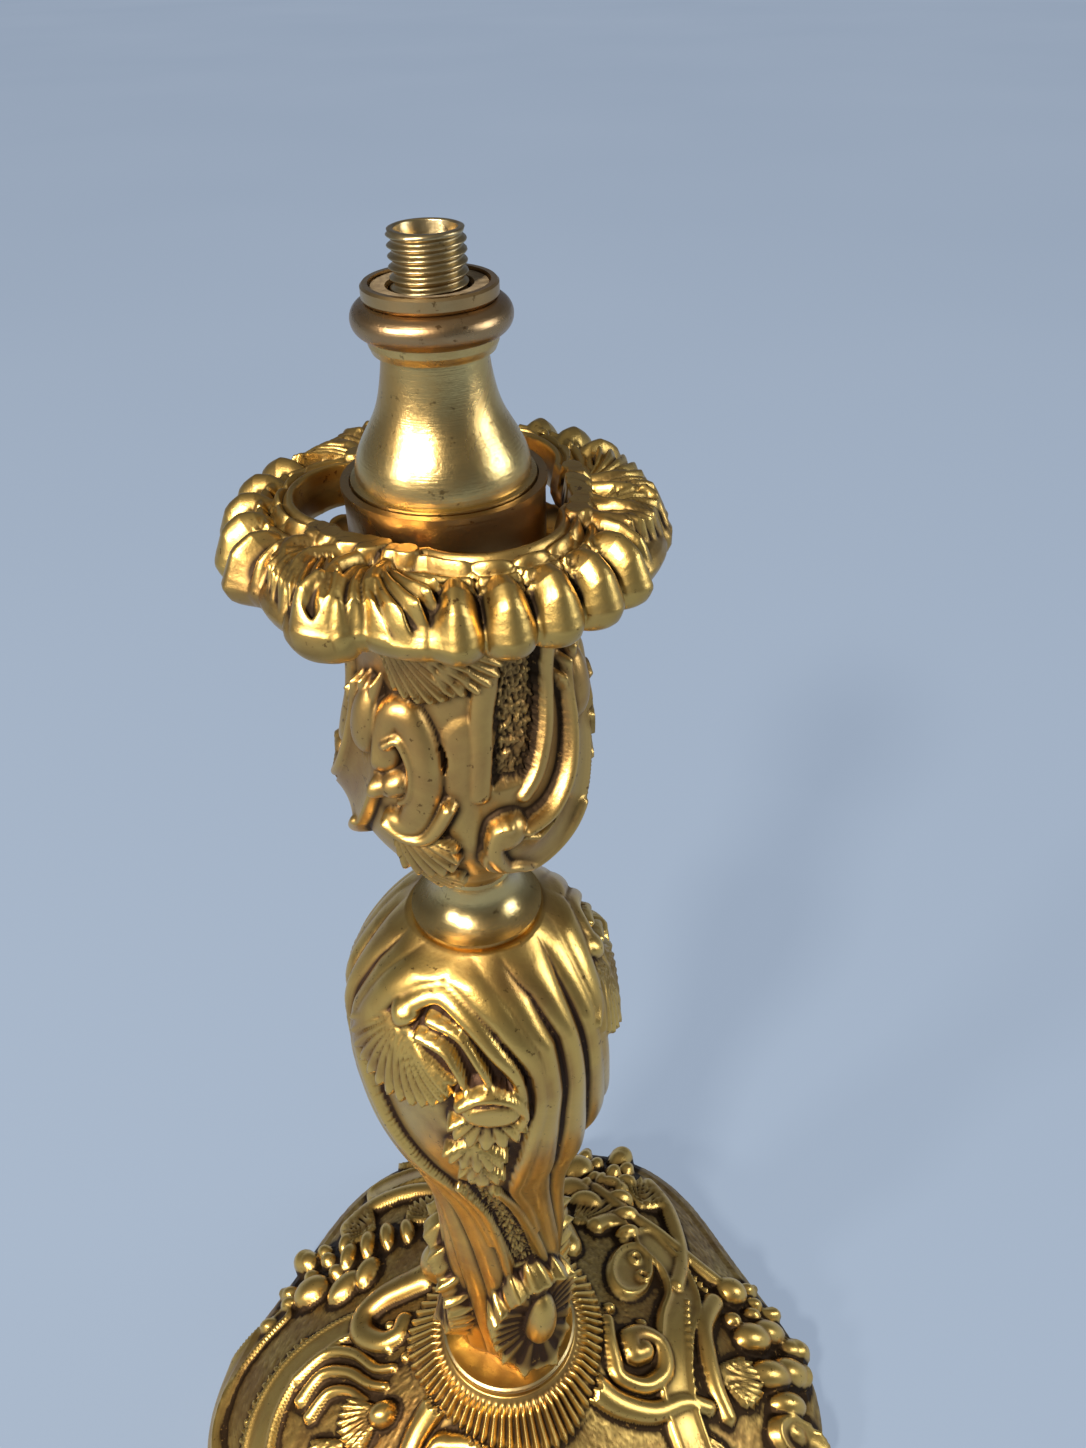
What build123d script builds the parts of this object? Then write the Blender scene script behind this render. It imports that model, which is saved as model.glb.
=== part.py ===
"""Gilt-brass candlestick: a domed rocaille foot, a twisted three-sided stem, a vase-shaped socket, a loose
openwork drip pan and a turned bell top, on one hollow tie tube with a nut under the foot.

Bearings are in degrees round the upright axis, from the front (-Y) towards +X. Heights are above the table,
or above the seat of the piece that they belong to."""

import os
from math import cos, radians, sin

from build123d import *

os.makedirs("parts", exist_ok=True)

# Tie tube and its threads, in millimetres
tube_diameter = 10.0
tube_bore = 7.8
tube_height = 346.7
thread_pitch = 1.25
thread_depth = 0.6
top_thread_length = 12.0
foot_thread_length = 15.0
bore_clearance = 0.3
thread_clearance = 0.06

# Foot: a hollow dome, highest under the dish
foot_height = 64.0
foot_rim_radius = 90.0
foot_wall = 4.0
foot_seat_radius = 18.0
foot_top_wall = 5.0
foot_lobe = 3.2
foot_lobes = 6
lobe_bearing = 25.0
foot_points = 72

# Dish between the foot and the stem
dish_radius = 17.9
dish_height = 4.0
dish_floor = 1.6
dish_bevel = 1.1

# Stem
stem_height = 164.9
stem_wall = 3.4
stem_end_wall = 6.0
stem_rib_depth = 0.7
stem_panel_depth = 0.9
stem_points = 90
upper_face_bearing = -26.0
lower_face_bearing = 27.0
twist_top = 130.0
twist_foot = 35.0

# Spool between the stem and the vase
spool_radius = 11.9
spool_neck_radius = 6.3
spool_height = 10.5
spool_rim = 1.3

# Vase-shaped socket
vase_height = 63.0
vase_mouth_radius = 13.1
vase_wall = 2.8
vase_floor = 8.0
vase_foot_radius = 6.6
vase_panel_bearing = 30.0
vase_panel_depth = 1.0
vase_points = 72

# Drum that closes the vase
drum_radius = 14.0
drum_lip_height = 0.8
drum_lip_overhang = 0.3
drum_height = 10.7
drum_spigot_depth = 5.0
drum_ledge_depth = 1.0
drum_ledge_clearance = 0.25
drum_wall = 2.5
drum_floor = 1.6
spigot_clearance = 0.15

# Drip pan
pan_hole_radius = 16.6
pan_rim_radius = 27.5
pan_thickness = 2.6
pan_ledge_height = 6.2
pan_ledge_width = 3.6
pan_shift = 1.9
pan_ridge = 0.8
scroll_bearing = 26.0
leaf_bearing = -34.0

# Bell, knop ring, collar and packing ring above the drum
bell_radius = 12.86
bell_rim_height = 1.4
bell_height = 20.5
bell_neck_radius = 6.95
bell_wall = 1.4
bell_fillet_radius = 8.47
bell_fillet_height = 2.0
bell_spigot_radius = 7.0
knop_radius = 10.4
knop_height = 4.2
knop_clearance = 0.25
knop_play = 0.1
collar_radius = 8.7
collar_height = 2.0
collar_lip = 1.0
collar_recess_depth = 0.9
packing_thickness = 0.5
packing_clearance = 0.3

# Washer and nut under the foot
washer_radius = 11.5
washer_thickness = 1.6
nut_across_flats = 16.0
nut_thickness = 6.0
tube_overhang = 4.0

thirds = (0.0, 120.0, 240.0)
egg_cut = 0.98
tube_radius = tube_diameter / 2
bore_radius = tube_radius + bore_clearance

# Seats, from the table up
dish_base = foot_height
stem_base = dish_base + dish_floor
spool_base = stem_base + stem_height
vase_base = spool_base + spool_height
drum_base = vase_base + vase_height
bell_base = drum_base + drum_height - drum_ledge_depth
knop_base = bell_base + bell_height
collar_base = knop_base + knop_height + knop_play
packing_base = collar_base + collar_height - collar_recess_depth
washer_base = foot_height - foot_top_wall - washer_thickness
nut_base = washer_base - nut_thickness
tube_base = nut_base - tube_overhang


def turn(bearing):
    """World angle of a bearing."""
    return bearing - 90.0


def ring_point(bearing, radius, height):
    """The point at a bearing, a radius and a height."""
    angle = radians(turn(bearing))
    return (radius * cos(angle), radius * sin(angle), height)


def on_ring(bearing, radius, height, heading=0.0, dip=0.0):
    """A place whose X axis points outward, turned by heading about the upright and dipped below level."""
    return Rot(0, 0, turn(bearing)) * Pos(radius, 0, height) * Rot(0, 0, heading) * Rot(0, dip, 0)


def blend(x, x0, x1):
    """0 below x0, 1 above x1 and smooth between them."""
    share = min(1.0, max(0.0, (x - x0) / (x1 - x0)))
    return share * share * (3 - 2 * share)


def reading(table, x):
    """Linear reading of a table of (x, y) pairs in rising x."""
    for (x0, y0), (x1, y1) in zip(table, table[1:]):
        if x <= x1:
            return y0 + (y1 - y0) * max(0.0, x - x0) / (x1 - x0)
    return table[-1][1]


def from_nearest_third(angle, centre):
    """Signed degrees from the nearest of three centres that lie 120 degrees apart."""
    return (angle - centre + 60.0) % 120.0 - 60.0


def egg(length, radius):
    """An ellipsoid of revolution along X with tiny flat ends, the form of one cast lobe, ball or petal."""
    with BuildPart() as lobe:
        with BuildSketch(Plane.XZ):
            Ellipse(length / 2, radius)
            Rectangle(egg_cut * length, radius, align=(Align.CENTER, Align.MIN), mode=Mode.INTERSECT)
        revolve(axis=Axis.X)
    return lobe.part


def bar_along(points, radius):
    """A round bar along a smooth line through the points."""
    with BuildPart() as bar:
        with BuildLine() as line:
            Spline(*points)
        with BuildSketch(Plane(origin=line.line @ 0, z_dir=line.line % 0)):
            Circle(radius)
        sweep(path=line.line)
    return bar.part


def loft_rings(heights, place_radius, count):
    """A loft through closed smooth outlines, one at each height, with the radius given by place_radius."""
    with BuildPart() as body:
        for height in heights:
            with BuildSketch(Plane.XY.offset(height)):
                with BuildLine():
                    outline = []
                    for step in range(count):
                        angle = 360.0 * step / count
                        radius = place_radius(angle, height)
                        outline.append((radius * cos(radians(angle)), radius * sin(radians(angle))))
                    Spline(*outline, periodic=True)
                make_face()
        loft()
    return body.part


def turned(*outline):
    """A solid turned round the upright axis from an outline of (radius, height) corners."""
    with BuildPart() as body:
        with BuildSketch(Plane.XZ):
            with BuildLine():
                Polyline(*outline, close=True)
            make_face()
        revolve(axis=Axis.Z)
    return body.part


# Foot casting: radii of the dome against height, ribs and scrolls cast on it
foot_profile = (
    (0.0, foot_rim_radius - 2.5),
    (5.0, foot_rim_radius),
    (11.0, foot_rim_radius - 3.5),
    (22.0, foot_rim_radius - 15.0),
    (33.0, foot_rim_radius - 30.0),
    (43.0, foot_rim_radius - 46.0),
    (52.0, foot_rim_radius - 60.0),
    (foot_height - 4.0, foot_seat_radius + 2.5),
    (foot_height, foot_seat_radius),
)
foot_slope = [(radius, height) for height, radius in reversed(foot_profile[1:])]


def foot_radius(angle, height, inset=0.0):
    mean = reading(foot_profile, height)
    share = (mean - foot_seat_radius) / (foot_rim_radius - foot_seat_radius)
    return mean - inset + foot_lobe * share * cos(radians(foot_lobes * (angle - turn(lobe_bearing))))


def on_foot(bearing, radius, lift=0.0):
    """A point over the dome, lift above its mean surface."""
    return ring_point(bearing, radius, reading(foot_slope, radius) + lift)


foot_bar = 3.0
foot_band_bar = 3.6
scroll_line = (
    (60, 70, 1.6),
    (47, 62, 2.4),
    (37, 50, 2.6),
    (38, 38, 2.4),
    (54, 32, 2.4),
    (66, 39, 2.8),
    (60, 46, 3.6),
)
crescent_line = (
    (-100, 82, 0.5),
    (-88, 76, 1.4),
    (-81, 64, 2.2),
    (-87, 52, 2.4),
    (-100, 46, 2.0),
    (-109, 53, 2.6),
)
band_line = ((66, 86, 0.5), (60, 78, 2.4), (63, 70, 3.4), (73, 67, 3.2), (79, 74, 3.6))
petal_length = 15.0
petal_radius = 4.4
petal_dip = 38.0
cluster_bearing = 88.0
petals = ((-12, 79, 26), (-4, 83, 10), (4, 83, -8), (12, 80, -24), (-6, 70, 30), (3, 69, -14))
ball_bearing = -118.0
balls = ((0, 74, 4.2), (-9, 72, 3.4), (8, 66, 3.2))
cartouche_bearing = 118.0
cartouche_radius = 41.0
cartouche_length = 26.0
cartouche_half_width = 4.0
cartouche_dip = 34.0

foot_bars = [
    bar_along([on_foot(*place) for place in scroll_line], foot_bar),
    bar_along([on_foot(*place) for place in crescent_line], foot_bar),
    bar_along([on_foot(*place) for place in band_line], foot_band_bar),
]
foot_petals = []
foot_balls = []
for offset, radius, heading in petals:
    seat = on_ring(cluster_bearing + offset, radius, reading(foot_slope, radius) + 2.0, heading, petal_dip)
    foot_petals.append(seat * egg(petal_length, petal_radius))
for offset, radius, size in balls:
    foot_balls.append(Pos(*on_foot(ball_bearing + offset, radius, size / 2)) * egg(2 * size, size))
cartouche_seat = on_ring(
    cartouche_bearing, cartouche_radius, reading(foot_slope, cartouche_radius), 0, cartouche_dip
)
foot_balls.append(cartouche_seat * egg(cartouche_length, cartouche_half_width))

dome_heights = [height for height, _ in foot_profile]
hollow_heights = [height for height in dome_heights if height < foot_height - foot_top_wall - 2.0]
foot_dome = loft_rings(dome_heights, foot_radius, foot_points)
foot_hollow = loft_rings(
    hollow_heights + [foot_height - foot_top_wall],
    lambda angle, height: foot_radius(angle, height, foot_wall),
    foot_points,
)

with BuildPart() as base_casting:
    add(foot_dome)
    with Locations(*[Rot(0, 0, third) for third in thirds]):
        add(foot_bars)
        add(foot_petals)
        add(foot_balls)
    Cylinder(
        2 * foot_rim_radius, foot_height, align=(Align.CENTER, Align.CENTER, Align.MAX), mode=Mode.SUBTRACT
    )
    add(foot_hollow, mode=Mode.SUBTRACT)
    Cylinder(bore_radius, foot_height, align=(Align.CENTER, Align.CENTER, Align.MIN), mode=Mode.SUBTRACT)
base_casting.part.label = "base_casting"

# Turned dish that the stem stands in
dish_lip = dish_base + dish_height
with BuildPart() as foot_dish:
    with BuildSketch(Plane.XZ):
        with BuildLine():
            Polyline(
                (dish_radius - dish_bevel, dish_lip - 0.3),
                (dish_radius - dish_bevel / 2, dish_lip),
                (dish_radius, dish_lip - 0.4),
                (dish_radius, dish_lip - 1.4),
                (dish_radius - 0.7, dish_lip - 2.0),
                (dish_radius - 0.4, dish_lip - 2.8),
                (dish_radius - dish_bevel, dish_base),
                (bore_radius, dish_base),
                (bore_radius, stem_base),
                (dish_radius / 2, stem_base),
            )
            ThreePointArc(
                (dish_radius / 2, stem_base),
                (dish_radius * 0.78, stem_base + 0.7),
                (dish_radius - dish_bevel, dish_lip - 0.3),
            )
        make_face()
    revolve(axis=Axis.Z)
foot_dish.part.label = "foot_dish"

# Stem: mean radius and depth of its three lobes against height above the stem's seat
stem_profile = (
    (0.0, 11.2),
    (8.0, 12.0),
    (24.0, 13.3),
    (40.0, 14.0),
    (56.0, 14.1),
    (70.0, 14.2),
    (84.0, 15.4),
    (97.0, 18.6),
    (108.0, 22.0),
    (119.0, 24.3),
    (130.0, 25.3),
    (140.0, 25.4),
    (149.0, 23.8),
    (156.0, 20.2),
    (161.0, 16.4),
    (stem_height, 12.6),
)
stem_lobes = ((0.0, 2.3), (8.0, 2.2), (24.0, 1.4), (40.0, 0.4), (56.0, -0.4), (stem_height, -0.4))
rib_width = 17.0
panel_edge = 26.0


def face_bearing(height):
    """Bearing of a face's middle: the faces turn as they run down the stem."""
    twist = upper_face_bearing - lower_face_bearing
    return lower_face_bearing + twist * blend(height, twist_foot, twist_top)


def stem_radius(angle, height):
    side = abs(from_nearest_third(angle, turn(face_bearing(height))))
    ribbed = blend(side, panel_edge, panel_edge + 6.0) * blend(height, -2.0, 20.0)
    rib = stem_rib_depth * ribbed * cos(radians(360.0 * (60.0 - side) / rib_width))
    panel = (1.0 - ribbed) * blend(height, 50.0, 90.0) * (1.0 - blend(height, 148.0, 158.0))
    lobe = reading(stem_lobes, height) * cos(radians(3 * side))
    return reading(stem_profile, height) + lobe + rib - stem_panel_depth * panel


def on_stem(offset, height, lift=0.0):
    """A point on a face of the stem, offset in degrees from the face's middle."""
    bearing = face_bearing(height) + offset
    return ring_point(bearing, stem_radius(turn(bearing), height) + lift, stem_base + height)


arch_line = (
    (-19, 147, 0.4),
    (-25, 153, 0.6),
    (-17, 158, 0.6),
    (0, 160, 0.4),
    (20, 157, 0.6),
    (34, 149, 0.6),
    (38, 139, 0.4),
)
arch_bar = 1.5
shell_height = 135.0
shell_length = 36.0
shell_radius = 13.0
shell_proud = 1.6
leaf_offset = 24.0
leaf_height = 131.0
leaf_length = 14.0
leaf_radius = 4.0
drop_offset = 4.0
drop_height = 110.0
drop_length = 22.0
drop_radius = 6.0
drop_proud = 2.2
rosette_height = 31.0
rosette_length = 50.0
rosette_radius = 11.5
rosette_reach = 19.5
bud_length = 23.0
bud_radius = 4.2


def on_face(offset, height, depth, lean=0.0):
    """A place on a face of the stem, depth below its surface, with its X axis up and leaning outward."""
    bearing = face_bearing(height) + offset
    radius = stem_radius(turn(bearing), height) - depth
    return Rot(0, 0, turn(bearing)) * Pos(radius, 0, stem_base + height) * Rot(0, lean - 90, 0)


rosette_bearing = face_bearing(rosette_height)
rosette_face = Rot(0, 0, turn(rosette_bearing)) * Pos(rosette_reach, 0, stem_base + rosette_height)
rosette_seat = rosette_face * Pos(-rosette_radius, 0, 0)
bud_seat = rosette_face * Pos(-1.0, 0, -6.0)
stem_ornament = [
    bar_along([on_stem(*place) for place in arch_line], arch_bar),
    on_face(0, shell_height, shell_radius - shell_proud) * egg(shell_length, shell_radius),
    on_ring(
        face_bearing(leaf_height) + leaf_offset,
        stem_radius(turn(face_bearing(leaf_height) + leaf_offset), leaf_height),
        stem_base + leaf_height,
        90,
    )
    * egg(leaf_length, leaf_radius),
    on_face(drop_offset, drop_height, drop_radius - drop_proud, 20) * egg(drop_length, drop_radius),
    rosette_seat * Rot(0, 90, 0) * egg(rosette_length, rosette_radius),
    bud_seat * Rot(0, 82, 0) * egg(bud_length, bud_radius),
]

stem_core = [
    (max(bore_radius, reading(stem_profile, height) - abs(reading(stem_lobes, height)) - stem_wall), height)
    for height, _ in stem_profile[1:-1]
    if stem_end_wall < height < stem_height - stem_end_wall
]
with BuildPart() as stem_casting:
    with Locations((0, 0, stem_base)):
        add(loft_rings([height for height, _ in stem_profile], stem_radius, stem_points))
    with Locations(*[Rot(0, 0, third) for third in thirds]):
        add(stem_ornament)
    with Locations((0, 0, stem_base)):
        add(
            turned(
                (0, stem_end_wall),
                (bore_radius, stem_end_wall),
                *stem_core,
                (bore_radius, stem_height - stem_end_wall),
                (0, stem_height - stem_end_wall),
            ),
            mode=Mode.SUBTRACT,
        )
        Cylinder(bore_radius, stem_height, align=(Align.CENTER, Align.CENTER, Align.MIN), mode=Mode.SUBTRACT)
        Cylinder(
            2 * dish_radius, dish_height, align=(Align.CENTER, Align.CENTER, Align.MAX), mode=Mode.SUBTRACT
        )
    add(foot_dish.part, mode=Mode.SUBTRACT)
stem_casting.part.label = "stem_casting"

# Spool between the stem and the vase
spool_top = spool_base + spool_height
spool_waist_radius = spool_neck_radius + (spool_radius - spool_neck_radius) * 0.22
with BuildPart() as spool_collar:
    with BuildSketch(Plane.XZ):
        with BuildLine():
            Polyline(
                (bore_radius, spool_top),
                (bore_radius, spool_base),
                (spool_radius - 0.5, spool_base),
                (spool_radius, spool_base + spool_rim * 0.4),
                (spool_radius, spool_base + spool_rim),
            )
            ThreePointArc(
                (spool_radius, spool_base + spool_rim),
                (spool_waist_radius, spool_base + spool_height * 0.42),
                (spool_neck_radius, spool_top - 1.2),
            )
            Polyline(
                (spool_neck_radius, spool_top - 1.2),
                (spool_neck_radius + 0.5, spool_top - 0.7),
                (spool_neck_radius + 0.3, spool_top),
                (bore_radius, spool_top),
            )
        make_face()
    revolve(axis=Axis.Z)
spool_collar.part.label = "spool_collar"

# Vase: mean radius against height above the vase's seat
vase_profile = (
    (0.0, vase_foot_radius),
    (2.4, vase_foot_radius + 3.8),
    (6.4, vase_foot_radius + 7.6),
    (12.9, vase_foot_radius + 11.0),
    (19.5, vase_foot_radius + 12.5),
    (28.7, vase_foot_radius + 12.3),
    (36.8, vase_foot_radius + 11.3),
    (43.0, vase_foot_radius + 10.2),
    (49.0, vase_foot_radius + 9.8),
    (56.0, vase_foot_radius + 10.6),
    (60.5, vase_foot_radius + 12.3),
    (vase_height, vase_foot_radius + 12.6),
)


def vase_radius(angle, height):
    side = abs(from_nearest_third(angle, turn(vase_panel_bearing)))
    panel = (1.0 - blend(side, 17.0, 23.0)) * blend(height, 29.0, 33.0) * (1.0 - blend(height, 56.0, 60.0))
    return reading(vase_profile, height) - vase_panel_depth * panel


def on_vase(offset, height, lift=0.0):
    """A point on the vase, offset in degrees from a panel's middle."""
    bearing = vase_panel_bearing + offset
    return ring_point(bearing, vase_radius(turn(bearing), height) + lift, vase_base + height)


volute_line = ((-20, 24, 0.9), (-12, 18, 0.9), (0, 16, 0.9), (18, 18, 0.9), (34, 24, 0.9), (43, 33, 0.9))
volute_bar = 2.0
volute_head = (-17, 26, 0.4)
volute_head_radius = 3.0
acanthus_offset = 46.0
acanthus_height = 37.0
acanthus_length = 20.0
acanthus_radius = 3.4
spray_offset = -38.0
spray_height = 52.0
spray_length = 20.0
spray_radius = 4.0
vase_ornament = [
    bar_along([on_vase(*place) for place in volute_line], volute_bar),
    Pos(*on_vase(*volute_head)) * egg(2 * volute_head_radius, volute_head_radius),
    Pos(*on_vase(acanthus_offset, acanthus_height)) * Rot(0, 84, 0) * egg(acanthus_length, acanthus_radius),
    Pos(*on_vase(spray_offset, spray_height, -1.6)) * Rot(0, 90, 0) * egg(spray_length, spray_radius),
]
vase_core = [
    (min(vase_mouth_radius, radius - vase_panel_depth - vase_wall), height)
    for height, radius in vase_profile
    if vase_floor < height < vase_height - drum_spigot_depth
]
with BuildPart() as vase_casting:
    with Locations((0, 0, vase_base)):
        add(loft_rings([height for height, _ in vase_profile], vase_radius, vase_points))
    with Locations(*[Rot(0, 0, third) for third in thirds]):
        add(vase_ornament)
    with Locations((0, 0, vase_base)):
        add(
            turned(
                (0, vase_floor),
                (bore_radius + 2.0, vase_floor),
                *vase_core,
                (vase_mouth_radius, vase_height - drum_spigot_depth),
                (vase_mouth_radius, vase_height),
                (0, vase_height),
            ),
            mode=Mode.SUBTRACT,
        )
        Cylinder(bore_radius, vase_height, align=(Align.CENTER, Align.CENTER, Align.MIN), mode=Mode.SUBTRACT)
vase_casting.part.label = "vase_casting"

# Drum: a cup whose spigot stands in the vase's mouth
drum_top = drum_base + drum_height
drum_spigot_radius = vase_mouth_radius - spigot_clearance
drum_ledge_radius = bell_radius + drum_ledge_clearance
drum_bore = drum_spigot_radius - drum_wall
with BuildPart() as nozzle_drum:
    add(
        turned(
            (bore_radius, drum_base - drum_spigot_depth),
            (drum_spigot_radius, drum_base - drum_spigot_depth),
            (drum_spigot_radius, drum_base),
            (drum_radius, drum_base),
            (drum_radius, drum_top - drum_lip_height),
            (drum_radius + drum_lip_overhang, drum_top - drum_lip_height),
            (drum_radius + drum_lip_overhang, drum_top),
            (drum_ledge_radius, drum_top),
            (drum_ledge_radius, bell_base),
            (drum_bore, bell_base),
            (drum_bore, drum_base - drum_spigot_depth + drum_floor),
            (bore_radius, drum_base - drum_spigot_depth + drum_floor),
        )
    )
nozzle_drum.part.label = "nozzle_drum"

# Drip pan: a loose cast ring round the drum, with three scroll groups and three leaf groups
pan_base = drum_base
pan_arc = 9.5
pan_arc_centre = 14.0
ridge_radii = (24.3, 26.2)
ridge_sweep = 74.0
lobe_length = 10.0
lobe_radius = 3.0
lobe_ring = 28.0
lobe_spacing = 13.0
lobe_dip = 28.0
fan_ring = 25.5
fan_length = 17.0
fan_radius = 2.4
fan_spacing = 13.0
fan_heading = 24.0
fan_dip = 16.0
berry_length = 13.0
berry_radius = 3.6
berry_ring = 30.6
knob_radius = 2.6
knob_ring = 20.2
knob_offset = 31.0
curl_ring = 30.9
curl_radius = 2.6
pan_ornament = []
for step in (-2, -1, 0, 1, 2):
    seat = on_ring(scroll_bearing + step * lobe_spacing, lobe_ring, pan_base + 1.6, 0, lobe_dip)
    pan_ornament.append(seat * egg(lobe_length, lobe_radius))
for step in (-1, 0, 1):
    seat = on_ring(leaf_bearing + step * fan_spacing, fan_ring, pan_base + 3.6, fan_heading, fan_dip)
    pan_ornament.append(seat * egg(fan_length, fan_radius))
berry_seat = on_ring(leaf_bearing - 6.0, berry_ring, pan_base - 0.6, 90)
pan_ornament.append(berry_seat * egg(berry_length, berry_radius))
curl_seat = on_ring(leaf_bearing + 25.0, curl_ring, pan_base + 1.0, 90)
pan_ornament.append(curl_seat * egg(2 * curl_radius, curl_radius))
for side in (-1, 1):
    knob = ring_point(scroll_bearing + side * knob_offset, knob_ring, pan_base + pan_ledge_height - 0.4)
    pan_ornament.append(Pos(*knob) * egg(2 * knob_radius, knob_radius))

pan_trim = 0.5
pan_seat_radius = vase_profile[-1][1] + pan_shift + 0.6
with BuildPart() as bobeche:
    with BuildSketch(Plane.XZ):
        with BuildLine():
            Polyline(
                (pan_hole_radius - pan_trim, pan_base - pan_trim),
                (pan_rim_radius - 2.0, pan_base - pan_trim),
                (pan_rim_radius, pan_base - 1.2),
                (pan_rim_radius + 1.0, pan_base + 0.6),
                (pan_rim_radius, pan_base + pan_thickness),
                (pan_hole_radius + pan_ledge_width + 2.0, pan_base + pan_ledge_height - 1.4),
                (pan_hole_radius + pan_ledge_width, pan_base + pan_ledge_height),
                (pan_hole_radius + 0.8, pan_base + pan_ledge_height),
                (pan_hole_radius - pan_trim, pan_base + pan_ledge_height - 1.0),
                close=True,
            )
        make_face()
    revolve(axis=Axis.Z)
    with Locations(*[Rot(0, 0, third) for third in thirds]):
        add(pan_ornament)
    with Locations(*[ring_point(scroll_bearing + third, pan_arc_centre, pan_base - 5.0) for third in thirds]):
        Cylinder(pan_arc, 20.0, align=(Align.CENTER, Align.CENTER, Align.MIN), mode=Mode.SUBTRACT)
    Cylinder(pan_hole_radius, 3 * pan_base, mode=Mode.SUBTRACT)
    with Locations((0, 0, pan_base)):
        Cylinder(pan_seat_radius, 10.0, align=(Align.CENTER, Align.CENTER, Align.MAX), mode=Mode.SUBTRACT)
bobeche.part.position = (0, pan_shift, 0)
bobeche.part.label = "bobeche"

# Bell: a hollow trumpet with a fillet ring and a spigot for the knop ring
bell_profile = (
    (bell_radius, bell_rim_height),
    (bell_radius - 2.1, 6.6),
    (bell_radius - 4.1, 10.2),
    (bell_radius - 5.3, 14.2),
    (bell_neck_radius, bell_height - bell_fillet_height),
)
bell_core = [
    (max(bore_radius, radius - bell_wall), bell_base + height)
    for radius, height in bell_profile
    if radius - bell_wall > bore_radius
]
with BuildPart() as bell_cover:
    with BuildSketch(Plane.XZ):
        with BuildLine():
            Polyline(
                (bell_core[0][0], bell_base),
                (bell_radius, bell_base),
                (bell_radius, bell_base + bell_rim_height),
                (bell_radius - 0.7, bell_base + bell_rim_height + 0.2),
            )
            Spline(
                (bell_radius - 0.7, bell_base + bell_rim_height + 0.2),
                *[(radius, bell_base + height) for radius, height in bell_profile[1:]],
            )
            Polyline(
                (bell_neck_radius, knop_base - bell_fillet_height),
                (bell_fillet_radius - 0.4, knop_base - bell_fillet_height),
                (bell_fillet_radius, knop_base - bell_fillet_height / 2),
                (bell_fillet_radius, knop_base),
                (bell_spigot_radius, knop_base),
                (bell_spigot_radius, collar_base),
                (bore_radius, collar_base),
                (bore_radius, bell_core[-1][1] + 1.0),
                *reversed(bell_core),
                (bell_core[0][0], bell_base),
            )
        make_face()
    revolve(axis=Axis.Z)
bell_cover.part.label = "bell_cover"

# Knop ring, loose between the bell's fillet and the collar
with BuildPart() as knop_ring:
    with BuildSketch(Plane.XZ):
        with BuildLine():
            Polyline(
                (knop_radius - 1.9, knop_base + knop_height),
                (bell_spigot_radius + knop_clearance, knop_base + knop_height),
                (bell_spigot_radius + knop_clearance, knop_base),
                (knop_radius - 1.9, knop_base),
            )
            ThreePointArc(
                (knop_radius - 1.9, knop_base),
                (knop_radius, knop_base + knop_height / 2),
                (knop_radius - 1.9, knop_base + knop_height),
            )
        make_face()
    revolve(axis=Axis.Z)
knop_ring.part.label = "knop_ring"

# Collar with a shallow recess, and the packing ring that lies in it
collar_top = collar_base + collar_height
collar_recess_radius = collar_radius - collar_lip
with BuildPart() as top_collar:
    add(
        turned(
            (bore_radius, collar_base),
            (collar_radius - 0.3, collar_base),
            (collar_radius, collar_base + 0.4),
            (collar_radius, collar_top - 0.3),
            (collar_radius - 0.3, collar_top),
            (collar_recess_radius, collar_top),
            (collar_recess_radius, packing_base),
            (bore_radius, packing_base),
        )
    )
top_collar.part.label = "top_collar"

packing_radius = collar_recess_radius - packing_clearance
with BuildPart() as packing_washer:
    with Locations((0, 0, packing_base)):
        Cylinder(packing_radius, packing_thickness, align=(Align.CENTER, Align.CENTER, Align.MIN))
        Cylinder(
            bore_radius + packing_clearance,
            packing_thickness,
            align=(Align.CENTER, Align.CENTER, Align.MIN),
            mode=Mode.SUBTRACT,
        )
packing_washer.part.label = "packing_washer"


def thread_groove(start, length):
    """The V groove of one thread, run out past both its ends."""
    groove_root = tube_radius - thread_depth
    half_mouth = thread_pitch * 0.42
    with BuildPart() as groove:
        with BuildLine():
            path = Helix(thread_pitch, length, groove_root, center=(0, 0, start))
        with BuildSketch(Plane(origin=path @ 0, x_dir=(1, 0, 0), z_dir=path % 0)):
            Polygon(
                (0, -0.12),
                (thread_depth + 0.3, -half_mouth - 0.1),
                (thread_depth + 0.3, half_mouth + 0.1),
                (0, 0.12),
                align=None,
            )
        sweep(path=path, is_frenet=True)
    return groove.part


# Tie tube, threaded at both ends
tube_top = tube_height
with BuildPart() as tie_tube:
    with Locations((0, 0, tube_base)):
        Cylinder(tube_radius, tube_top - tube_base, align=(Align.CENTER, Align.CENTER, Align.MIN))
    add(thread_groove(tube_top - top_thread_length, top_thread_length + thread_pitch), mode=Mode.SUBTRACT)
    add(thread_groove(tube_base - thread_pitch, foot_thread_length + thread_pitch), mode=Mode.SUBTRACT)
    with Locations((0, 0, tube_base)):
        Cylinder(
            tube_bore / 2,
            tube_top - tube_base,
            align=(Align.CENTER, Align.CENTER, Align.MIN),
            mode=Mode.SUBTRACT,
        )
tie_tube.part.label = "tie_tube"

# Washer and nut that clamp the foot from below
with BuildPart() as base_washer:
    with Locations((0, 0, washer_base)):
        Cylinder(washer_radius, washer_thickness, align=(Align.CENTER, Align.CENTER, Align.MIN))
        Cylinder(
            bore_radius,
            washer_thickness,
            align=(Align.CENTER, Align.CENTER, Align.MIN),
            mode=Mode.SUBTRACT,
        )
base_washer.part.label = "base_washer"

with BuildPart() as clamp_nut:
    with BuildSketch(Plane.XY.offset(nut_base)):
        RegularPolygon(nut_across_flats / 2, 6, major_radius=False)
        Circle(tube_radius + thread_clearance, mode=Mode.SUBTRACT)
    extrude(amount=nut_thickness)
clamp_nut.part.label = "clamp_nut"

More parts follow.
